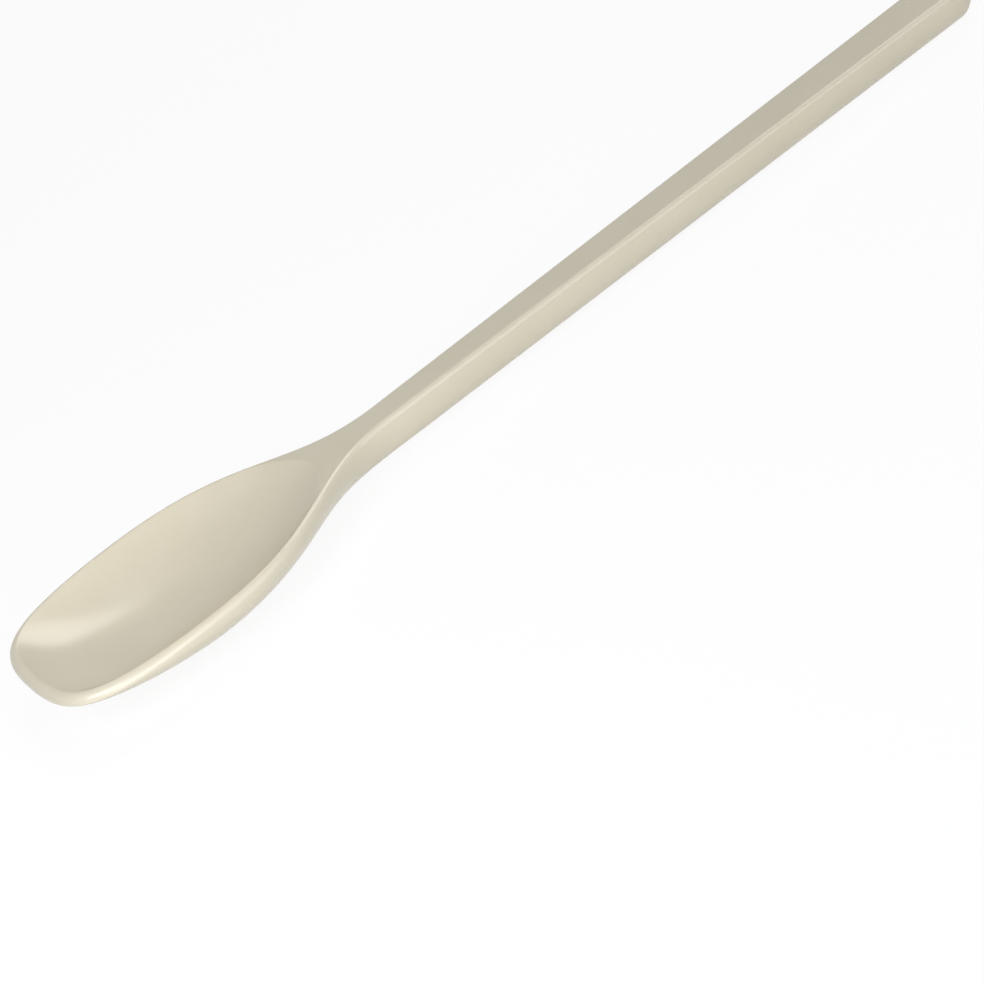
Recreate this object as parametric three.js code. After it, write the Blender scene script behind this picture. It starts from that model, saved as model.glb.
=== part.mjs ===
// A one-piece moulded mixing spoon: a shallow bowl, a waisted neck and a long straight handle.
// Its top is one flat plane with the bowl hollowed into it, and a rounded lip runs all round the edge.
// Millimetres, +Z up. It lies as on a table, on the undersides of its bowl and its handle's end, with the
// bowl's tip towards -X. The origin is on the table, in the middle of the spoon's length and width.

import * as THREE from 'three';
import { mergeVertices } from 'three/addons/utils/BufferGeometryUtils.js';

// Places along the spoon, from the bowl's tip
const LENGTH = 300;
const WIDEST_AT = 40;
const DEEPEST_AT = 45;
const HOLLOW_EASES_AT = 50;
const HOLLOW_END_AT = 88.4;
const UNDERSIDE_LEVEL_AT = 98;
const NECK_AT = 110;

// Widths across the spoon
const BOWL_WIDTH = 60;
const NECK_WIDTH = 10.4;
const HANDLE_END_WIDTH = 15;

// Depths below the flat top, and the thickness of the bowl's floor
const BOWL_DEPTH = 13.6;
const NECK_DEPTH = 11;
const HANDLE_END_DEPTH = 10.5;
const BOWL_FLOOR = 3.2;

// The rounded lip: how far it reaches in from the side, and how far down, at the tip, where it is oval
const TIP_LIP_WIDTH = 2.6;
const TIP_LIP_HEIGHT = 2.2;

// The lip's radius further back, where it is round
const BOWL_LIP_RADIUS = 2;
const NECK_LIP_RADIUS = 1.4;
const HANDLE_END_LIP_RADIUS = 1.2;

// Lengths of the rounded ends of the handle and of the hollow
const HANDLE_END_ROUND = 6.8;
const HOLLOW_END_ROUND = 9.4;

// Fullness of the outline's curves, as shares of the spans that they cross
const TIP_FULLNESS = 0.66;
const CHEEK_FULLNESS = 0.92;
const SHOULDER_FULLNESS = 0.58;
const WAIST_FULLNESS = 0.38;

// Fullness of the underside's slope from the bowl to the neck, and of the round of every section
const UNDERSIDE_FULLNESS = 0.42;
const ROUND = 0.55;

// Fullness of the underside just below the lip
const TIP_FLANK = 0.08;
const BOWL_FLANK = 0.55;
const NECK_FLANK = 0.33;
const HANDLE_FLANK = 0.54;

// The hollow's wall just below the lip, and at the hollow's rear end: its fullness, and how far it leans in
const HOLLOW_WALL = 0.45;
const HOLLOW_REAR_WALL = 0.06;
const HOLLOW_LEAN = 0.15;
const HOLLOW_REAR_LEAN = 0.05;

// Facets: steps along each stretch, and steps across the lip, the underside and the hollow
const TIP_STEPS = 14;
const BOWL_SIDE_STEPS = 9;
const HOLLOW_END_STEPS = 6;
const NECK_STEPS = 6;
const HANDLE_STEPS = 10;
const HANDLE_END_STEPS = 7;
const LIP_STEPS = 4;
const UNDERSIDE_STEPS = 9;
const HOLLOW_STEPS = 9;

const HANDLE_ROUND_AT = LENGTH - HANDLE_END_ROUND;
const HOLLOW_ROUND_AT = HOLLOW_END_AT - HOLLOW_END_ROUND;
const HOLLOW_DEPTH = BOWL_DEPTH - BOWL_FLOOR;
const SIDE_CURVE = 1;
const END_CURVE = 3;
const SAME_POINT = 1e-4;
const HALVINGS = 48;

const { lerp, clamp, smoothstep } = THREE.MathUtils;
const outline = makeOutline();
const undersideSlope = makeUndersideSlope();

// The half outline seen from above, from the tip to the handle's end, at the lip's widest point.
// Its curves are the tip, the bowl's side with the neck, the handle, and the handle's end.
function makeOutline() {
  const bowl = BOWL_WIDTH / 2;
  const neck = NECK_WIDTH / 2;
  const end = HANDLE_END_WIDTH / 2;
  const taper = (end - neck) / (HANDLE_ROUND_AT - NECK_AT);
  const shoulder = SHOULDER_FULLNESS * (NECK_AT - WIDEST_AT);
  const waist = WAIST_FULLNESS * (NECK_AT - WIDEST_AT);
  const tip = new THREE.CubicBezierCurve(
    new THREE.Vector2(0, 0),
    new THREE.Vector2(0, TIP_FULLNESS * bowl),
    new THREE.Vector2((1 - CHEEK_FULLNESS) * WIDEST_AT, bowl),
    new THREE.Vector2(WIDEST_AT, bowl),
  );
  const side = new THREE.CubicBezierCurve(
    new THREE.Vector2(WIDEST_AT, bowl),
    new THREE.Vector2(WIDEST_AT + shoulder, bowl),
    new THREE.Vector2(NECK_AT - waist, neck - taper * waist),
    new THREE.Vector2(NECK_AT, neck),
  );
  const handle = new THREE.LineCurve(
    new THREE.Vector2(NECK_AT, neck),
    new THREE.Vector2(HANDLE_ROUND_AT, end),
  );
  const handleEnd = new THREE.EllipseCurve(HANDLE_ROUND_AT, 0, HANDLE_END_ROUND, end, Math.PI / 2, 0, true);
  return [tip, side, handle, handleEnd];
}

// The keel's rise from the bowl's deepest point to the neck, as depth over length
function makeUndersideSlope() {
  const reach = UNDERSIDE_FULLNESS * (UNDERSIDE_LEVEL_AT - DEEPEST_AT);
  const fall = (HANDLE_END_DEPTH - NECK_DEPTH) / (HANDLE_ROUND_AT - UNDERSIDE_LEVEL_AT);
  return new THREE.CubicBezierCurve(
    new THREE.Vector2(DEEPEST_AT, BOWL_DEPTH),
    new THREE.Vector2(DEEPEST_AT + reach, BOWL_DEPTH),
    new THREE.Vector2(UNDERSIDE_LEVEL_AT - reach, NECK_DEPTH - fall * reach),
    new THREE.Vector2(UNDERSIDE_LEVEL_AT, NECK_DEPTH),
  );
}

// The value between low and high at which a rising function reaches the target
function solve(rising, target, low, high) {
  for (let i = 0; i < HALVINGS; i += 1) {
    const middle = (low + high) / 2;
    if (rising(middle) < target) low = middle;
    else high = middle;
  }
  return (low + high) / 2;
}

// Depth of the keel line below the flat top
function keelDepth(x) {
  if (x >= UNDERSIDE_LEVEL_AT) {
    const along = (x - UNDERSIDE_LEVEL_AT) / (HANDLE_ROUND_AT - UNDERSIDE_LEVEL_AT);
    return lerp(NECK_DEPTH, HANDLE_END_DEPTH, along);
  }
  const u = solve((v) => undersideSlope.getPoint(v).x, x, 0, 1);
  return undersideSlope.getPoint(u).y;
}

// Radius of the lip, which from the tip to the widest point starts from a value of its own
function lipSize(x, atTip) {
  if (x < WIDEST_AT) return lerp(atTip, BOWL_LIP_RADIUS, smoothstep(x, 0, WIDEST_AT));
  if (x < NECK_AT) return lerp(BOWL_LIP_RADIUS, NECK_LIP_RADIUS, smoothstep(x, WIDEST_AT, NECK_AT));
  return lerp(NECK_LIP_RADIUS, HANDLE_END_LIP_RADIUS, (x - NECK_AT) / (LENGTH - NECK_AT));
}

// Fullness of the underside below the lip, easing from one stretch of the spoon to the next
function flank(x) {
  const level = UNDERSIDE_LEVEL_AT;
  if (x < DEEPEST_AT) return lerp(TIP_FLANK, BOWL_FLANK, smoothstep(x, 0, DEEPEST_AT));
  if (x < level) return lerp(BOWL_FLANK, NECK_FLANK, smoothstep(x, DEEPEST_AT, level));
  return lerp(NECK_FLANK, HANDLE_FLANK, smoothstep(x, level, 2 * NECK_AT - level));
}

// The edge at a place on the outline: its side point, its ridge point on the flat top, and the lip's
// height. The whole number of place picks the curve, and its fraction the point on it.
function edgeAt(place) {
  const index = Math.min(Math.floor(place), outline.length - 1);
  const side = outline[index].getPoint(place - index);
  const along = outline[index].getTangent(place - index);
  const inward = new THREE.Vector2(along.y, -along.x);
  const ridge = side.clone().addScaledVector(inward, lipSize(side.x, TIP_LIP_WIDTH));
  return { side, ridge, lipHeight: lipSize(side.x, TIP_LIP_HEIGHT) };
}

// The edge whose ridge point lies at a length along the spoon
function edgeOver(x) {
  return edgeAt(solve((place) => edgeAt(place).ridge.x, x, 0, outline.length));
}

// Evenly spaced values after start, up to and including end
function spread(start, end, steps) {
  return Array.from({ length: steps }, (_, i) => lerp(start, end, (i + 1) / steps));
}

// Shares from 0 to 1 spaced like the points of a quarter circle, closer together towards 1
function quarterShares(steps) {
  return Array.from({ length: steps + 1 }, (_, i) => Math.sin(((i / steps) * Math.PI) / 2));
}

// Edges all along one half of the spoon, from the tip to the handle's end
function makeEdges() {
  const tipPlaces = [0, ...spread(0, SIDE_CURVE, TIP_STEPS)];
  const bowlSide = spread(edgeAt(SIDE_CURVE).ridge.x, HOLLOW_ROUND_AT, BOWL_SIDE_STEPS);
  const neckAndHandle = [
    ...spread(HOLLOW_ROUND_AT, NECK_AT, NECK_STEPS),
    ...spread(NECK_AT, edgeAt(END_CURVE).ridge.x, HANDLE_STEPS),
  ];
  const endPlaces = spread(END_CURVE, outline.length, HANDLE_END_STEPS);
  return [
    ...tipPlaces.map(edgeAt),
    ...bowlSide.map(edgeOver),
    ...neckAndHandle.map(edgeOver),
    ...endPlaces.map(edgeAt),
  ];
}

// A curve from a wall's top to a level floor, which first heads down by the share called fullness and in by
// the share called lean. Gives how much of the way out from the middle is left, and how much of the depth
// is reached.
function wallShape(fullness, lean, t) {
  const s = 1 - t;
  const out = s ** 3 + 3 * s ** 2 * t * (1 - lean) + 3 * s * t ** 2 * ROUND;
  const down = 3 * s ** 2 * t * fullness + 3 * s * t ** 2 + t ** 3;
  return { out, down };
}

// One rib of the skin: from the ridge over the lip, and down the flank to the keel line
function makeRib({ side, ridge, lipHeight }) {
  const points = [];
  for (let i = 0; i <= LIP_STEPS; i += 1) {
    const turn = ((i / LIP_STEPS) * Math.PI) / 2;
    const plan = ridge.clone().lerp(side, Math.sin(turn));
    points.push(new THREE.Vector3(plan.x, plan.y, -lipHeight * (1 - Math.cos(turn))));
  }
  const keelX = clamp(side.x, DEEPEST_AT, HANDLE_ROUND_AT);
  const drop = keelDepth(keelX) - lipHeight;
  for (const t of spread(0, 1, UNDERSIDE_STEPS)) {
    const { out, down } = wallShape(flank(side.x), 0, t);
    const x = lerp(keelX, side.x, out);
    points.push(new THREE.Vector3(x, side.y * out, -lipHeight - drop * down));
  }
  return points;
}

// The rear end of the hollow: a rounded arc inside the ridge, from the lip to the spoon's middle
function makeHollowEnd() {
  return quarterShares(HOLLOW_END_STEPS).slice(1).map((share) => {
    const x = lerp(HOLLOW_ROUND_AT, HOLLOW_END_AT, share);
    const half = edgeOver(x).ridge.y * Math.sqrt(1 - share ** 2);
    return new THREE.Vector3(x, half, 0);
  });
}

// The other half's point
function mirrored(point) {
  return new THREE.Vector3(point.x, -point.y, point.z);
}

// Adds a triangle, unless two of its corners meet, with points near the middle plane put on it
function addTriangle(corners, ...points) {
  const put = points.map((p) => (Math.abs(p.y) < SAME_POINT ? new THREE.Vector3(p.x, 0, p.z) : p));
  const meet = put.some((p, i) => p.distanceTo(put[(i + 1) % put.length]) < SAME_POINT);
  if (!meet) corners.push(...put);
}

// Skins a grid of rows with two triangles to each cell
function addRows(corners, rows) {
  for (let i = 0; i + 1 < rows.length; i += 1) {
    for (let j = 0; j + 1 < rows[i].length; j += 1) {
      addTriangle(corners, rows[i][j], rows[i + 1][j], rows[i][j + 1]);
      addTriangle(corners, rows[i + 1][j], rows[i + 1][j + 1], rows[i][j + 1]);
    }
  }
}

// The lip and the underside, both halves
function addUnderside(corners, edges) {
  const ribs = edges.map(makeRib);
  addRows(corners, ribs);
  addRows(corners, ribs.map((rib) => rib.map(mirrored)).reverse());
}

// The hollow: walls that run in from its edge to the deepest point, and ease towards the rear end
function addHollow(corners, edge) {
  const rays = edge.map((point) => {
    const along = smoothstep(point.x, HOLLOW_EASES_AT, HOLLOW_END_AT);
    const wall = lerp(HOLLOW_WALL, HOLLOW_REAR_WALL, along);
    const lean = lerp(HOLLOW_LEAN, HOLLOW_REAR_LEAN, along);
    return [0, ...spread(0, 1, HOLLOW_STEPS)].map((t) => {
      const { out, down } = wallShape(wall, lean, t);
      return new THREE.Vector3(lerp(DEEPEST_AT, point.x, out), point.y * out, -HOLLOW_DEPTH * down);
    });
  });
  addRows(corners, rays.map((ray) => ray.map(mirrored)));
  addRows(corners, rays.slice().reverse());
}

// The flat top behind the hollow: the neck's deck and the handle
function addFlatTop(corners, ridgeBehind, rearEdge) {
  const loop = [
    ...ridgeBehind.map(mirrored),
    ...ridgeBehind.slice(0, -1).reverse(),
    ...rearEdge,
    ...rearEdge.slice(0, -1).reverse().map(mirrored),
  ];
  const flat = loop.map((p) => new THREE.Vector2(p.x, p.y));
  for (const [a, b, c] of THREE.ShapeUtils.triangulateShape(flat, [])) {
    addTriangle(corners, loop[a], loop[b], loop[c]);
  }
}

// The whole moulding as one closed skin, with the flat top at z = 0 and the tip at x = 0
function makeSpoonGeometry() {
  const edges = makeEdges();
  const ridge = edges.map((edge) => new THREE.Vector3(edge.ridge.x, edge.ridge.y, 0));
  const leaves = TIP_STEPS + BOWL_SIDE_STEPS;
  const rearEdge = makeHollowEnd();
  const corners = [];
  addUnderside(corners, edges);
  addHollow(corners, [...ridge.slice(0, leaves + 1), ...rearEdge]);
  addFlatTop(corners, ridge.slice(leaves), rearEdge);
  const geometry = mergeVertices(new THREE.BufferGeometry().setFromPoints(corners), SAME_POINT);
  geometry.computeVertexNormals();
  return geometry;
}

// Lays the spoon down on the table and puts the middle of its length over the origin
function layDown(spoon) {
  spoon.rotation.y = Math.atan2(BOWL_DEPTH - HANDLE_END_DEPTH, HANDLE_ROUND_AT - DEEPEST_AT);
  const box = new THREE.Box3().setFromObject(spoon, true);
  spoon.position.set(-(box.min.x + box.max.x) / 2, 0, -box.min.z);
}

const melamine = new THREE.MeshStandardMaterial({ color: 0xcfc8b5, roughness: 0.4, metalness: 0 });
const spoon = new THREE.Mesh(makeSpoonGeometry(), melamine);
spoon.name = 'spoon';
layDown(spoon);

const mixingSpoon = new THREE.Group();
mixingSpoon.add(spoon);

export default mixingSpoon;
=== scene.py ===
"""A one-piece mixing spoon moulded in cream melamine, on a plain pale floor under soft studio light.

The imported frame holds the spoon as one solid. Here the same moulding is drawn again from the same sizes,
far finer and with the hollow's edge eased, and dressed in satin melamine. Metres, +Z up, the bowl's tip
towards -X.
"""

import logging
import math
from dataclasses import dataclass, field
from enum import Enum
from typing import Any, Mapping, Optional, Sequence, Union

import bmesh
import bpy
import numpy as np
from mathutils import Matrix, Vector


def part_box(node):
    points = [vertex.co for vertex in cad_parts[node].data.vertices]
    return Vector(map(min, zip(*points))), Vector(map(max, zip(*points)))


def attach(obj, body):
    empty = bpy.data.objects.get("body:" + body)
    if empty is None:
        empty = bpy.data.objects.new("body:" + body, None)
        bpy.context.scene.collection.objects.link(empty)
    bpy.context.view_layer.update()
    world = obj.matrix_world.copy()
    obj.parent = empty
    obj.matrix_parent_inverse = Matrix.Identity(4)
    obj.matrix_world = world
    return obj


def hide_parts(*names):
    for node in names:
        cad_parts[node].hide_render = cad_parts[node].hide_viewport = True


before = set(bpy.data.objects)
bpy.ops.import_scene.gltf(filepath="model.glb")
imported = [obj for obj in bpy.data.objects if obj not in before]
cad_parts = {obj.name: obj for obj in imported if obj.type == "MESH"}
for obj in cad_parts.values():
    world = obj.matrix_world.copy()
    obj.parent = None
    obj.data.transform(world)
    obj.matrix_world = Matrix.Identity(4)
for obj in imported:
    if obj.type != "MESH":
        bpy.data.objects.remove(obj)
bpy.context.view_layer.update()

# Pixels along each side of the picture that the camera is set for.
IMAGE_SIDE = 984
# Points that are nearer than this, in metres, become one.
SAME_POINT = 1e-7
# The middle of what a noise node gives.
NOISE_MIDDLE = 0.5
WHITE = (1.0, 1.0, 1.0, 1.0)

log = logging.getLogger("mixing_spoon")

Array = np.ndarray
Colour = tuple[float, float, float]
Point = tuple[float, float, float]
Range = tuple[float, float]
Value = Union["Socket", float, Sequence[float]]


def linear(red: int, green: int, blue: int) -> Colour:
    """Turns a colour as seen on a screen into the linear values that shaders use.

    Args:
        red: red from 0 to 255.
        green: green from 0 to 255.
        blue: blue from 0 to 255.

    Returns:
        The linear colour, each part from 0 to 1.
    """
    shares = [part / 255.0 for part in (red, green, blue)]
    return tuple(s / 12.92 if s <= 0.04045 else ((s + 0.055) / 1.055) ** 2.4 for s in shares)


def ease(values: Array, low: float, high: float) -> Array:
    """Eases values smoothly from 0 at low to 1 at high.

    Args:
        values: what to ease.
        low: the value at which the result leaves 0.
        high: the value at which the result reaches 1.

    Returns:
        The eased shares.
    """
    share = np.clip((values - low) / (high - low), 0.0, 1.0)
    return share * share * (3.0 - 2.0 * share)


def blend(first: Any, second: Any, share: Any) -> Any:
    """Goes from first to second by a share, number by number."""
    return first + (second - first) * share


def bezier(corners: Sequence[Sequence[float]], t: Array) -> Array:
    """Points on a cubic Bezier curve.

    Args:
        corners: the curve's four control points.
        t: places on the curve, from 0 to 1.

    Returns:
        One point for each place.
    """
    a, b, c, d = (np.asarray(corner, float) for corner in corners)
    t = t[:, None]
    s = 1.0 - t
    return s**3 * a + 3.0 * s**2 * t * b + 3.0 * s * t**2 * c + t**3 * d


class Socket:
    """A shader value that takes part in Python sums, each of which adds a node."""

    def __init__(self, shader: "Shader", output: bpy.types.NodeSocket) -> None:
        """Keeps the output and the shader that it belongs to.

        Args:
            shader: the material's node tree.
            output: the node output that carries the value.
        """
        self.shader = shader
        self.output = output

    def __add__(self, other: Value) -> "Socket":
        """This value plus another."""
        return self.shader.sum("ADD", self, other)

    def __radd__(self, other: Value) -> "Socket":
        """Another value plus this one."""
        return self.shader.sum("ADD", other, self)

    def __sub__(self, other: Value) -> "Socket":
        """This value less another."""
        return self.shader.sum("SUBTRACT", self, other)

    def __rsub__(self, other: Value) -> "Socket":
        """Another value less this one."""
        return self.shader.sum("SUBTRACT", other, self)

    def __mul__(self, other: Value) -> "Socket":
        """This value times another."""
        return self.shader.sum("MULTIPLY", self, other)

    def __rmul__(self, other: Value) -> "Socket":
        """Another value times this one."""
        return self.shader.sum("MULTIPLY", other, self)


@dataclass(frozen=True)
class Grain:
    """Noise with a grain of a real size.

    Attributes:
        size: the rough size of a speck, in metres.
        detail: how many finer layers there are.
    """

    size: float
    detail: float


class Shader:
    """A node tree, of a material or of the world, that is filled by plain calls."""

    def __init__(self, tree: bpy.types.NodeTree) -> None:
        """Empties the tree.

        Args:
            tree: the node tree to fill.
        """
        self.tree = tree
        tree.nodes.clear()

    @classmethod
    def of_material(cls, name: str) -> tuple["Shader", bpy.types.Material]:
        """Makes a material and its shader.

        Args:
            name: the material's name.

        Returns:
            The empty shader, and the material.
        """
        material = bpy.data.materials.new(name)
        material.use_nodes = True
        return cls(material.node_tree), material

    def add(
        self,
        kind: str,
        settings: Optional[Mapping[str, Any]] = None,
        inputs: Optional[Mapping[Union[str, int], Value]] = None,
        output: Union[str, int] = 0,
    ) -> Socket:
        """Adds a node of any kind.

        Args:
            kind: the node's type.
            settings: the node's own settings, which are set first.
            inputs: a number, a colour or a socket for each input, by name or by number.
            output: which of the node's outputs to give back.

        Returns:
            That output.
        """
        node = self.tree.nodes.new(kind)
        for name, setting in (settings or {}).items():
            setattr(node, name, setting)
        for name, value in (inputs or {}).items():
            if isinstance(value, Socket):
                self.tree.links.new(value.output, node.inputs[name])
            else:
                node.inputs[name].default_value = value
        return Socket(self, node.outputs[output] if node.outputs else None)

    def sum(self, operation: str, first: Value, second: Value) -> Socket:
        """Adds a Math node."""
        return self.add("ShaderNodeMath", {"operation": operation}, {0: first, 1: second})

    def mix(self, share: Value, first: Value, second: Value) -> Socket:
        """Mixes two colours.

        Args:
            share: how much of the second colour, from 0 to 1.
            first: the first colour, with alpha where it is a constant.
            second: the second colour, with alpha where it is a constant.

        Returns:
            The mixed colour.
        """
        return self.add("ShaderNodeMix", {"data_type": "RGBA"}, {0: share, 6: first, 7: second}, 2)

    def noise(self, place: Socket, grain: Grain) -> Socket:
        """Adds noise.

        Args:
            place: coordinates in metres.
            grain: the size and the detail of the noise.

        Returns:
            The noise, from about 0.2 to about 0.8.
        """
        inputs = {"Vector": place, "Scale": 1.0 / grain.size, "Detail": grain.detail}
        return self.add("ShaderNodeTexNoise", {}, inputs)

    def between(self, value: Socket, low: float, high: float) -> Socket:
        """Maps values smoothly from 0 at low to 1 at high.

        Args:
            value: what to map.
            low: the value at which the result leaves 0.
            high: the value at which the result reaches 1.

        Returns:
            The mapped value.
        """
        settings = {"interpolation_type": "SMOOTHSTEP"}
        return self.add("ShaderNodeMapRange", settings, {"Value": value, "From Min": low, "From Max": high})


class Mark(Enum):
    """Marks on the spoon's points that its finish reads."""

    HOLLOW = "hollow"
    EDGE = "edge"


@dataclass(frozen=True)
class Melamine:
    """Cream melamine, moulded with a satin face.

    Attributes:
        name: the finish's slot.
        cream: the main colour, as all colours here linear.
        pale: colour of the clouds.
        speck: colour of the specks.
        clouds: grain of the clouds.
        cloud_range: noise values between which a cloud turns from cream to pale.
        specks: grain of the specks.
        speck_range: noise values between which a speck comes up.
        speck_share: how strongly a speck shows.
        roughness: of the satin face.
        haze: grain of the changes in roughness.
        haze_spread: size of those changes.
        hollow_polish: how much smoother the hollow is.
        edge_polish: how much smoother the lip is.
        peel: grain of the orange-peel texture.
        peel_height: height of that texture, in metres.
        refraction: the resin's index of refraction.
    """

    name: str = "melamine"
    cream: Colour = linear(207, 198, 172)
    pale: Colour = linear(210, 201, 176)
    speck: Colour = linear(194, 184, 158)
    clouds: Grain = Grain(0.016, 3.0)
    cloud_range: Range = (0.3, 0.7)
    specks: Grain = Grain(0.0005, 1.0)
    speck_range: Range = (0.62, 0.74)
    speck_share: float = 0.22
    roughness: float = 0.25
    haze: Grain = Grain(0.0045, 4.0)
    haze_spread: float = 0.035
    hollow_polish: float = 0.01
    edge_polish: float = 0.03
    peel: Grain = Grain(0.0011, 2.0)
    peel_height: float = 0.000006
    refraction: float = 1.6

    def material(self) -> bpy.types.Material:
        """Makes the material.

        Returns:
            A satin plastic with clouding, specks, smoother edges and a faint orange-peel texture.
        """
        shader, material = Shader.of_material(self.name)
        place = shader.add("ShaderNodeTexCoord", output="Object")
        hollow = shader.add("ShaderNodeAttribute", {"attribute_name": Mark.HOLLOW.value}, output="Fac")
        edge = shader.add("ShaderNodeAttribute", {"attribute_name": Mark.EDGE.value}, output="Fac")

        clouds = shader.between(shader.noise(place, self.clouds), *self.cloud_range)
        specks = shader.between(shader.noise(place, self.specks), *self.speck_range)
        haze = shader.noise(place, self.haze) - NOISE_MIDDLE
        peel = shader.noise(place, self.peel)

        ground = shader.mix(clouds, (*self.cream, 1.0), (*self.pale, 1.0))
        colour = shader.mix(specks * self.speck_share, ground, (*self.speck, 1.0))
        satin = self.roughness + haze * self.haze_spread
        roughness = satin - hollow * self.hollow_polish - edge * self.edge_polish
        relief = {"Strength": 1.0, "Distance": self.peel_height, "Height": peel}
        texture = shader.add("ShaderNodeBump", {}, relief)
        face = {"Base Color": colour, "Roughness": roughness, "IOR": self.refraction, "Normal": texture}
        surface = shader.add("ShaderNodeBsdfPrincipled", {}, face)
        shader.add("ShaderNodeOutputMaterial", {}, {"Surface": surface})
        return material


@dataclass(frozen=True)
class Edge:
    """The spoon's edge at a row of places, seen from above.

    Attributes:
        side: points where the lip is widest.
        ridge: points where the lip meets the flat top or the hollow.
        lip_height: how far the lip rounds down from the flat top.
    """

    side: Array
    ridge: Array
    lip_height: Array


class Patch:
    """Points and faces of a mesh that grows grid by grid."""

    def __init__(self) -> None:
        """Starts with nothing."""
        self.points: list[Array] = []
        self.marks: dict[Mark, list[Array]] = {mark: [] for mark in Mark}
        self.faces: list[tuple[int, ...]] = []
        self.count = 0

    def add(self, grid: Array, marks: Mapping[Mark, Array], flip: bool) -> None:
        """Adds a grid of points as four-sided faces.

        Args:
            grid: rows of points.
            marks: for each mark, its value at each point of the grid; a mark that is left out is 0.
            flip: turns the faces over.
        """
        rows, columns = grid.shape[:2]
        numbers = self.count + np.arange(rows * columns).reshape(rows, columns)
        corners = [numbers[:-1, :-1], numbers[1:, :-1], numbers[1:, 1:], numbers[:-1, 1:]]
        if flip:
            corners.reverse()
        self.faces.extend(map(tuple, np.stack(corners, axis=-1).reshape(-1, 4).tolist()))
        self.points.append(grid.reshape(-1, 3))
        for mark, values in self.marks.items():
            given = marks.get(mark, np.zeros((rows, columns)))
            values.append(np.broadcast_to(given, (rows, columns)).reshape(-1))
        self.count += rows * columns

    def add_both(self, grid: Array, marks: Mapping[Mark, Array], flip: bool) -> None:
        """Adds a grid on the spoon's +Y half, and its mirror image.

        Args:
            grid: rows of points.
            marks: as for add.
            flip: turns the faces over.
        """
        self.add(grid, marks, flip)
        self.add(grid * np.array([1.0, -1.0, 1.0]), marks, not flip)

    def mesh(self, name: str, place: Matrix) -> bpy.types.Mesh:
        """Joins the grids where their points meet.

        Args:
            name: the mesh's name.
            place: moves the points from the spoon's own frame to the row frame.

        Returns:
            A closed, smooth-shaded mesh.
        """
        mesh = bpy.data.meshes.new(name)
        mesh.from_pydata(np.concatenate(self.points).tolist(), [], self.faces)
        for mark, values in self.marks.items():
            attribute = mesh.attributes.new(mark.value, "FLOAT", "POINT")
            attribute.data.foreach_set("value", np.concatenate(values).astype(np.float32))
        work = bmesh.new()
        work.from_mesh(mesh)
        bmesh.ops.remove_doubles(work, verts=work.verts, dist=SAME_POINT)
        bmesh.ops.dissolve_degenerate(work, edges=work.edges, dist=SAME_POINT)
        for face in work.faces:
            face.smooth = True
        work.transform(place)
        work.to_mesh(mesh)
        work.free()
        return mesh


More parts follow.
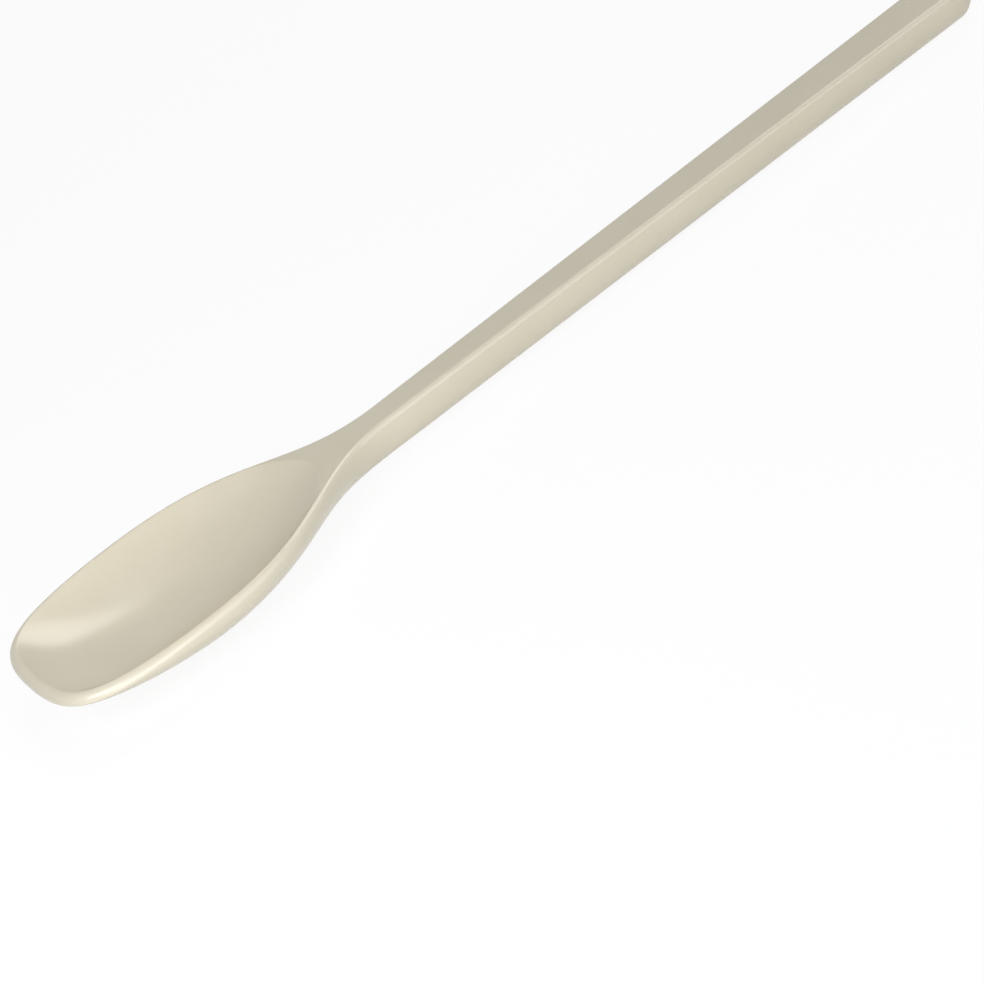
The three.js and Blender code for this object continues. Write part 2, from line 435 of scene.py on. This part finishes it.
@dataclass
class Spoon:
    """The moulding: a shallow bowl, a waisted neck and a long straight handle, in one piece.

    It is drawn in its own frame, with its flat top at z = 0, the bowl's tip at x = 0 and the handle along
    +X. Places along it are measured from the tip. Fullness is a share of the span that a curve crosses. The
    hollow's edge is eased by its crease, which takes at most its share of a narrow strip of flat top.
    """

    node: str = "spoon"
    name: str = "spoon_moulding"
    finish: Melamine = field(default_factory=Melamine)

    length: float = 0.300
    widest_at: float = 0.040
    deepest_at: float = 0.045
    hollow_end_at: float = 0.0884
    level_at: float = 0.098
    neck_at: float = 0.110
    bowl_width: float = 0.060
    neck_width: float = 0.0104
    end_width: float = 0.015
    bowl_depth: float = 0.0136
    neck_depth: float = 0.011
    end_depth: float = 0.0105
    bowl_floor: float = 0.0032
    tip_lip_width: float = 0.0026
    tip_lip_height: float = 0.0022
    bowl_lip: float = 0.002
    neck_lip: float = 0.0014
    end_lip: float = 0.0012
    end_round: float = 0.0068
    hollow_end_round: float = 0.0094
    hollow_eases_at: float = 0.050
    tip_crease: float = 0.0007
    crease: float = 0.00035
    crease_eases_at: float = 0.030
    crease_fade: float = 0.010
    crease_share: float = 0.4
    polish_reach: float = 0.2

    tip_fullness: float = 0.66
    cheek_fullness: float = 0.92
    shoulder_fullness: float = 0.58
    waist_fullness: float = 0.38
    keel_fullness: float = 0.42
    section_round: float = 0.55
    tip_flank: float = 0.08
    bowl_flank: float = 0.55
    neck_flank: float = 0.33
    handle_flank: float = 0.54
    hollow_wall: float = 0.45
    hollow_lean: float = 0.15
    hollow_rear_wall: float = 0.06
    hollow_rear_lean: float = 0.05

    samples: int = 3000
    tip_steps: int = 52
    bowl_steps: int = 34
    arc_steps: int = 22
    neck_steps: int = 22
    handle_steps: int = 64
    end_steps: int = 20
    lip_steps: int = 12
    flank_steps: int = 26
    crease_steps: int = 4
    hollow_steps: int = 34
    top_steps: int = 8

    @property
    def end_round_at(self) -> float:
        """Where the handle's rounded end starts."""
        return self.length - self.end_round

    @property
    def hollow_round_at(self) -> float:
        """Where the hollow's edge leaves the lip."""
        return self.hollow_end_at - self.hollow_end_round

    @property
    def hollow_depth(self) -> float:
        """Depth of the hollow below the flat top."""
        return self.bowl_depth - self.bowl_floor

    @property
    def tilt(self) -> float:
        """How far the flat top leans when the spoon lies on its bowl and its handle's end."""
        return math.atan2(self.bowl_depth - self.end_depth, self.end_round_at - self.deepest_at)

    def keel_depth(self, x: Array) -> Array:
        """Depth of the keel line below the flat top.

        Args:
            x: places along the spoon, behind the deepest point.

        Returns:
            The depth at each place.
        """
        reach = self.keel_fullness * (self.level_at - self.deepest_at)
        fall = (self.end_depth - self.neck_depth) / (self.end_round_at - self.level_at)
        slope = bezier(
            [
                (self.deepest_at, self.bowl_depth),
                (self.deepest_at + reach, self.bowl_depth),
                (self.level_at - reach, self.neck_depth - fall * reach),
                (self.level_at, self.neck_depth),
            ],
            np.linspace(0.0, 1.0, self.samples),
        )
        places = np.append(slope[:, 0], self.end_round_at)
        depths = np.append(slope[:, 1], self.end_depth)
        return np.interp(x, places, depths)

    def lip_size(self, x: Array, at_tip: float) -> Array:
        """Radius of the lip, which is oval at the tip and round behind the bowl's widest point.

        Args:
            x: places along the spoon.
            at_tip: the value at the tip.

        Returns:
            The radius at each place.
        """
        size = blend(at_tip, self.bowl_lip, ease(x, 0.0, self.widest_at))
        size = blend(size, self.neck_lip, ease(x, self.widest_at, self.neck_at))
        along_handle = np.clip((x - self.neck_at) / (self.length - self.neck_at), 0.0, 1.0)
        return blend(size, self.end_lip, along_handle)

    def flank(self, x: Array) -> Array:
        """Fullness of the underside just below the lip.

        Args:
            x: places along the spoon.

        Returns:
            The fullness at each place.
        """
        full = blend(self.tip_flank, self.bowl_flank, ease(x, 0.0, self.deepest_at))
        full = blend(full, self.neck_flank, ease(x, self.deepest_at, self.level_at))
        return blend(full, self.handle_flank, ease(x, self.level_at, 2.0 * self.neck_at - self.level_at))

    def outline(self) -> tuple[Array, Edge]:
        """The edge of the +Y half, closely sampled from the tip to the handle's end.

        Returns:
            The places, whose whole numbers count the outline's four curves, and the edge there.
        """
        bowl, neck, end = self.bowl_width / 2.0, self.neck_width / 2.0, self.end_width / 2.0
        span = self.neck_at - self.widest_at
        shoulder, waist = self.shoulder_fullness * span, self.waist_fullness * span
        taper = (end - neck) / (self.end_round_at - self.neck_at)
        t = np.linspace(0.0, 1.0, self.samples)
        turn = t * math.pi / 2.0
        curves = [
            bezier(
                [
                    (0.0, 0.0),
                    (0.0, self.tip_fullness * bowl),
                    ((1.0 - self.cheek_fullness) * self.widest_at, bowl),
                    (self.widest_at, bowl),
                ],
                t,
            ),
            bezier(
                [
                    (self.widest_at, bowl),
                    (self.widest_at + shoulder, bowl),
                    (self.neck_at - waist, neck - taper * waist),
                    (self.neck_at, neck),
                ],
                t,
            ),
            np.stack([blend(self.neck_at, self.end_round_at, t), blend(neck, end, t)], axis=1),
            np.stack([self.end_round_at + self.end_round * np.sin(turn), end * np.cos(turn)], axis=1),
        ]
        along = np.concatenate([np.gradient(curve, axis=0, edge_order=2) for curve in curves])
        along /= np.linalg.norm(along, axis=1, keepdims=True)
        inward = np.stack([along[:, 1], -along[:, 0]], axis=1)
        side = np.concatenate(curves)
        ridge = side + inward * self.lip_size(side[:, 0], self.tip_lip_width)[:, None]
        places = np.concatenate([t + number for number in range(len(curves))])
        return places, Edge(side, ridge, self.lip_size(side[:, 0], self.tip_lip_height))

    def stations(self) -> tuple[Edge, int, int]:
        """Picks the places along the edge at which the skin gets its ribs.

        Returns:
            The edge at those places, the number of the rib where the hollow's edge leaves the lip, and the
            number of the rib beside the hollow's rear end.
        """
        places, dense = self.outline()
        side_start, neck_place, end_start = 1.0, 2.0, 3.0
        ridge_x = dense.ridge[:, 0]
        leave, rear = np.interp([self.hollow_round_at, self.hollow_end_at], ridge_x, places)
        picked = np.concatenate(
            [
                np.linspace(0.0, side_start, self.tip_steps + 1)[:-1],
                np.linspace(side_start, leave, self.bowl_steps + 1)[:-1],
                np.linspace(leave, rear, self.arc_steps + 1)[:-1],
                np.linspace(rear, neck_place, self.neck_steps + 1)[:-1],
                np.linspace(neck_place, end_start, self.handle_steps + 1)[:-1],
                np.linspace(end_start, end_start + 1.0, self.end_steps + 1),
            ]
        )

        def pick(column: Array) -> Array:
            """Reads a column of the dense outline at the picked places."""
            return np.interp(picked, places, column)

        edge = Edge(
            np.stack([pick(dense.side[:, 0]), pick(dense.side[:, 1])], axis=1),
            np.stack([pick(dense.ridge[:, 0]), pick(dense.ridge[:, 1])], axis=1),
            pick(dense.lip_height),
        )
        leaves = self.tip_steps + self.bowl_steps
        return edge, leaves, leaves + self.arc_steps

    def wall(self, fullness: Array, lean: Array, t: Array) -> tuple[Array, Array]:
        """A curve from a wall's top to a level floor.

        Args:
            fullness: how far down the wall first heads, a column.
            lean: how far in it heads meanwhile, a column; with none it starts straight down.
            t: places on the curve, from 0 at its top to 1 at its foot.

        Returns:
            How much of the way out from the middle is left, and how much of the depth is reached.
        """
        s = 1.0 - t
        out = s**3 + 3.0 * s**2 * t * (1.0 - lean) + 3.0 * s * t**2 * self.section_round
        down = 3.0 * s**2 * t * fullness + 3.0 * s * t**2 + t**3
        return out, down

    def ribs(self, edge: Edge, start: Array) -> Array:
        """The lip and the underside of the +Y half.

        Args:
            edge: the edge at each rib.
            start: how far round the lip each rib starts, in radians from the ridge.

        Returns:
            A row of points for each rib, from the ridge to the keel.
        """
        turn = blend(start[:, None], math.pi / 2.0, np.linspace(0.0, 1.0, self.lip_steps + 1)[None, :])
        height = edge.lip_height[:, None]
        plan = blend(edge.ridge[:, None, :], edge.side[:, None, :], np.sin(turn)[:, :, None])
        lip = np.concatenate([plan, (-height * (1.0 - np.cos(turn)))[:, :, None]], axis=2)
        side_x, side_y = edge.side[:, 0], edge.side[:, 1]
        keel_x = np.clip(side_x, self.deepest_at, self.end_round_at)[:, None]
        drop = self.keel_depth(keel_x) - height
        t = np.linspace(0.0, 1.0, self.flank_steps + 1)[None, 1:]
        out, down = self.wall(self.flank(side_x)[:, None], 0.0, t)
        x = blend(keel_x, side_x[:, None], out)
        flank = np.stack([x, side_y[:, None] * out, -height - drop * down], axis=2)
        return np.concatenate([lip, flank], axis=1)

    def rear_arc(self) -> Array:
        """The rear end of the hollow's edge, from the lip to the spoon's middle.

        Returns:
            Points on the flat top.
        """
        share = np.sin(np.linspace(0.0, math.pi / 2.0, self.arc_steps + 1))
        x = blend(self.hollow_round_at, self.hollow_end_at, share)
        _, dense = self.outline()
        half = np.interp(x, dense.ridge[:, 0], dense.ridge[:, 1])
        return np.stack([x, half * np.sqrt(np.clip(1.0 - share**2, 0.0, 1.0)), 0.0 * x], axis=1)

    def hollow_rays(self, rim: Array, start: Array) -> Array:
        """The hollow of the +Y half.

        Args:
            rim: points of the hollow's edge.
            start: how far down each ray starts, along its curve.

        Returns:
            A row of points from each point of the edge to the deepest point.
        """
        along = ease(rim[:, 0], self.hollow_eases_at, self.hollow_end_at)
        fullness = blend(self.hollow_wall, self.hollow_rear_wall, along)[:, None]
        lean = blend(self.hollow_lean, self.hollow_rear_lean, along)[:, None]
        fine = np.linspace(0.0, 1.0, self.samples)[None, :]
        middle = np.array([self.deepest_at, 0.0])
        reach = np.linalg.norm(rim[:, :2] - middle, axis=1)[:, None]
        out, down = self.wall(fullness, lean, fine)
        steps = np.hypot(np.diff(out * reach, axis=1), np.diff(down * self.hollow_depth, axis=1))
        walked = np.concatenate([np.zeros((len(rim), 1)), np.cumsum(steps, axis=1)], axis=1)
        first = np.array([np.interp(go, row, fine[0]) for go, row in zip(start, walked)])
        t = blend(first[:, None], 1.0, np.linspace(0.0, 1.0, self.hollow_steps + 1)[None, :])
        out, down = self.wall(fullness, lean, t)
        plan = middle + (rim[:, None, :2] - middle) * out[:, :, None]
        return np.concatenate([plan, (-self.hollow_depth * down)[:, :, None]], axis=2)

    def creases(self, front: Array, strip: Array) -> tuple[Array, Array]:
        """How far the hollow's edge is eased.

        Args:
            front: places of the edge where it runs along the lip.
            strip: width of the flat top beside each point of the edge's rear end.

        Returns:
            The easing along the lip, and the easing round the rear end.
        """
        fade = ease(self.hollow_round_at - front, 0.0, self.crease_fade)
        along_lip = fade * blend(self.tip_crease, self.crease, ease(front, 0.0, self.crease_eases_at))
        return along_lip, np.minimum(self.crease, self.crease_share * strip)

    @staticmethod
    def outward(arc: Array) -> Array:
        """Directions on the flat top, square to the hollow's rear end.

        Args:
            arc: points of the rear end, from the lip to the spoon's middle.

        Returns:
            A direction away from the hollow for each point.
        """
        along = np.gradient(arc, axis=0, edge_order=2)
        along[-1] = (0.0, -1.0, 0.0)
        away = np.stack([-along[:, 1], along[:, 0], along[:, 2]], axis=1)
        return away / np.linalg.norm(away, axis=1, keepdims=True)

    def skin(self) -> Patch:
        """Draws all of the moulding's faces.

        Returns:
            The lip with the underside, the hollow's eased edge, the hollow, and the flat top round it.
        """
        edge, leaves, rear = self.stations()
        ridge = np.concatenate([edge.ridge, np.zeros((len(edge.ridge), 1))], axis=1)
        front, beside, behind = ridge[: leaves + 1], ridge[leaves : rear + 1], ridge[rear:]
        arc = self.rear_arc()
        lip_crease, arc_crease = self.creases(front[:, 0], np.linalg.norm(beside - arc, axis=1))

        start = np.zeros(len(ridge))
        start[: leaves + 1] = lip_crease / self.lip_size(edge.side[: leaves + 1, 0], self.tip_lip_width)
        ribs = self.ribs(edge, start)

        deck_edge = arc + self.outward(arc) * arc_crease[:, None]
        rim = np.concatenate([front, arc[1:]])
        outer = np.concatenate([ribs[: leaves + 1, 0], deck_edge[1:]])
        rays = self.hollow_rays(rim, np.concatenate([lip_crease, arc_crease[1:]]))
        t = np.linspace(0.0, 1.0, self.crease_steps + 1)[None, :, None]
        turned = (1.0 - t) ** 2 * outer[:, None] + 2.0 * t * (1.0 - t) * rim[:, None] + t**2 * rays[:, :1]

        share = np.linspace(0.0, 1.0, self.top_steps + 1)[None, :, None]
        deck = blend(beside[:, None], deck_edge[:, None], share)
        middle = behind * np.array([1.0, 0.0, 0.0])
        middle[0] = deck_edge[-1]
        top = blend(behind[:, None], middle[:, None], share)

        lip_mark = np.zeros(ribs.shape[1])
        lip_mark[: self.lip_steps + 1] = np.sin(np.linspace(0.0, math.pi, self.lip_steps + 1))
        hollow_mark = ease(np.linspace(0.0, 1.0, self.hollow_steps + 1), 0.0, self.polish_reach)
        patch = Patch()
        patch.add_both(ribs, {Mark.EDGE: lip_mark[None, :]}, False)
        patch.add_both(turned, {}, True)
        patch.add_both(rays, {Mark.HOLLOW: hollow_mark[None, :]}, True)
        patch.add_both(deck, {}, True)
        patch.add_both(top, {}, True)
        return patch

    def build(self) -> bpy.types.Object:
        """Draws the moulding and lays it where its solid lies.

        Returns:
            The piece, still without its finish.
        """
        mesh = self.skin().mesh(self.name, self.resting_place())
        piece = bpy.data.objects.new(self.name, mesh)
        bpy.context.scene.collection.objects.link(piece)
        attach(piece, "root")
        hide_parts(self.node)
        return piece

    def dress(self, piece: bpy.types.Object) -> None:
        """Gives the moulding its finish.

        Args:
            piece: the moulding.
        """
        piece.data.materials.append(self.finish.material())

    def resting_place(self) -> Matrix:
        """The move from the spoon's own frame to where its solid lies.

        Returns:
            A turn about Y, so that the bowl and the handle's end touch the floor, and a shift.
        """
        low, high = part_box(self.node)
        turn = Matrix.Rotation(self.tilt, 4, "Y")
        lowest = turn @ Vector((self.deepest_at, 0.0, -self.bowl_depth))
        end = turn @ Vector((self.length, 0.0, -self.end_lip))
        tip = turn @ Vector((0.0, 0.0, -self.tip_lip_height))
        middle = ((low.x + high.x) - (tip.x + end.x)) / 2.0
        return Matrix.Translation((middle, 0.0, low.z - lowest.z)) @ turn


@dataclass(frozen=True)
class Viewpoint:
    """The photographer's place, given in the spoon's own frame.

    Attributes:
        target: the point of the spoon that the sizes below go by.
        distance: from the lens to the target, along the line of sight.
        elevation: of the line of sight above the spoon's flat top, in degrees.
        swing: of the line of sight round the spoon, from square to its side, in degrees.
        roll: of the camera about the line of sight, in degrees.
        view_angle: the picture's angle of view, in degrees.
        pixel: where the target lands in the picture.
        sensor_width: of the camera, in millimetres.
        clip: the nearest and the farthest distance that the camera sees.
    """

    target: Point = (0.150, 0.0, 0.0)
    distance: float = 1.15993
    elevation: float = 30.6524
    swing: float = 14.8620
    roll: float = 29.9705
    view_angle: float = 12.0
    pixel: tuple[float, float] = (506.40, 315.49)
    sensor_width: float = 36.0
    clip: Range = (0.01, 50.0)

    def build(self, place: Matrix) -> bpy.types.Object:
        """Makes the camera and gives it to the scene.

        Args:
            place: the move from the spoon's own frame to the row frame.

        Returns:
            The camera.
        """
        rise, swing, roll = (math.radians(angle) for angle in (self.elevation, self.swing, self.roll))
        back = Vector(
            (-math.sin(swing) * math.cos(rise), -math.cos(swing) * math.cos(rise), math.sin(rise))
        )
        level = Vector((math.cos(swing), -math.sin(swing), 0.0))
        upright = back.cross(level)
        right = level * math.cos(roll) - upright * math.sin(roll)
        up = level * math.sin(roll) + upright * math.cos(roll)

        spread = 2.0 * math.tan(math.radians(self.view_angle) / 2.0)
        half = IMAGE_SIDE / 2.0
        span = self.distance * spread / IMAGE_SIDE
        aside, above = (self.pixel[0] - half) * span, (half - self.pixel[1]) * span
        spot = Vector(self.target) + back * self.distance - right * aside - up * above

        data = bpy.data.cameras.new("camera")
        data.sensor_width = self.sensor_width
        data.lens = self.sensor_width / spread
        data.clip_start, data.clip_end = self.clip
        camera = bpy.data.objects.new("camera", data)
        turn = Matrix((right, up, back)).transposed().to_4x4()
        camera.matrix_world = place @ Matrix.Translation(spot) @ turn
        bpy.context.scene.collection.objects.link(camera)
        bpy.context.scene.camera = camera
        return camera


class Tint(Enum):
    """Tints of the lamps' light."""

    COOL = (0.97, 1.0, 1.1)
    WARM = (1.02, 1.0, 0.97)


@dataclass(frozen=True)
class Softbox:
    """A soft rectangular studio lamp.

    Attributes:
        name: the lamp's name.
        place: where it stands.
        aim: the point that it faces.
        size: width and height of its face.
        power: in watts.
        tint: of its light.
    """

    name: str
    place: Point
    aim: Point
    size: tuple[float, float]
    power: float
    tint: Tint

    def build(self) -> bpy.types.Object:
        """Stands the lamp in the studio.

        Returns:
            The lamp.
        """
        data = bpy.data.lights.new(self.name, "AREA")
        data.shape = "RECTANGLE"
        data.size, data.size_y = self.size
        data.energy = self.power
        data.color = self.tint.value
        lamp = bpy.data.objects.new(self.name, data)
        lamp.location = self.place
        facing = Vector(self.aim) - Vector(self.place)
        lamp.rotation_euler = facing.to_track_quat("-Z", "Y").to_euler()
        bpy.context.scene.collection.objects.link(lamp)
        return lamp


@dataclass(frozen=True)
class Studio:
    """A plain white sweep of floor, a white room and the lamps.

    Attributes:
        floor_side: side of the square floor.
        floor_colour: of the floor in the lamps' light.
        floor_white: how much of the floor's look is plain white, so that shadows on it stay faint.
        floor_glow: strength of that white, which makes up for the rest of the floor's look.
        floor_fade: distances from the spoon between which the floor turns all white.
        room_light: strength of the even light from all round.
        lamps: the softboxes.
    """

    floor_side: float = 30.0
    floor_colour: Colour = (0.80, 0.80, 0.79)
    floor_white: float = 0.88
    floor_glow: float = 1.03
    floor_fade: Range = (0.3, 1.2)
    room_light: float = 0.04
    lamps: tuple[Softbox, ...] = (
        Softbox("tip", (-0.305, -0.146, 0.219), (-0.08, 0.0, 0.01), (0.2, 0.2), 0.61, Tint.COOL),
        Softbox("left", (-0.317, -0.817, 0.243), (-0.02, 0.0, 0.01), (0.6, 0.6), 4.13, Tint.COOL),
        Softbox("right", (0.247, -0.732, 0.46), (-0.02, 0.0, 0.01), (0.8, 0.8), 2.88, Tint.COOL),
        Softbox("overhead", (0.81, 0.633, 1.236), (0.0, 0.0, 0.01), (1.1, 0.9), 9.3, Tint.WARM),
    )

    def seen_plainly(self, shader: Shader) -> Socket:
        """Tells which rays meet plain white: the camera's, and those in gloss or glass.

        Args:
            shader: the node tree that asks.

        Returns:
            1 for those rays and 0 for the rest.
        """
        camera, glossy, through = (
            shader.add("ShaderNodeLightPath", output=ray)
            for ray in ("Is Camera Ray", "Is Glossy Ray", "Is Transmission Ray")
        )
        return camera + glossy + through

    def build_floor(self) -> bpy.types.Object:
        """Lays the floor.

        Returns:
            The floor.
        """
        shader, material = Shader.of_material("floor")
        lit = shader.add("ShaderNodeBsdfDiffuse", {}, {"Color": (*self.floor_colour, 1.0)})
        white = shader.add("ShaderNodeEmission", {}, {"Color": WHITE, "Strength": self.floor_glow})
        place = shader.add("ShaderNodeTexCoord", output="Object")
        distance = shader.add("ShaderNodeVectorMath", {"operation": "LENGTH"}, {0: place}, "Value")
        away = shader.between(distance, *self.floor_fade)
        share = self.seen_plainly(shader) * (self.floor_white + away * (1.0 - self.floor_white))
        surface = shader.add("ShaderNodeMixShader", {}, {0: share, 1: lit, 2: white})
        shader.add("ShaderNodeOutputMaterial", {}, {"Surface": surface})

        half = self.floor_side / 2.0
        corners = [(-half, -half, 0.0), (half, -half, 0.0), (half, half, 0.0), (-half, half, 0.0)]
        mesh = bpy.data.meshes.new("floor")
        mesh.from_pydata(corners, [], [(0, 1, 2, 3)])
        mesh.materials.append(material)
        floor = bpy.data.objects.new("floor", mesh)
        bpy.context.scene.collection.objects.link(floor)
        return floor

    def build_room(self) -> bpy.types.World:
        """Fills the room with even light.

        Returns:
            The world, which looks plain white and lights at its own strength.
        """
        world = bpy.data.worlds.new("room")
        world.use_nodes = True
        shader = Shader(world.node_tree)
        strength = self.room_light + self.seen_plainly(shader) * (1.0 - self.room_light)
        light = shader.add("ShaderNodeBackground", {}, {"Color": WHITE, "Strength": strength})
        shader.add("ShaderNodeOutputWorld", {}, {"Surface": light})
        bpy.context.scene.world = world
        return world

    def build(self) -> None:
        """Builds the floor, the room and the lamps."""
        self.build_floor()
        self.build_room()
        for lamp in self.lamps:
            lamp.build()
            log.info("lamp %s at %s", lamp.name, lamp.place)


def main() -> None:
    """Builds the spoon, the studio and the camera."""
    logging.basicConfig(level=logging.INFO, format="%(name)s: %(message)s")
    spoon = Spoon()
    piece = spoon.build()
    spoon.dress(piece)
    log.info("%s: %d points, %d faces", piece.name, len(piece.data.vertices), len(piece.data.polygons))
    Studio().build()
    Viewpoint().build(spoon.resting_place())
    bpy.context.scene.view_settings.view_transform = "Standard"


if __name__ == "__main__":
    main()
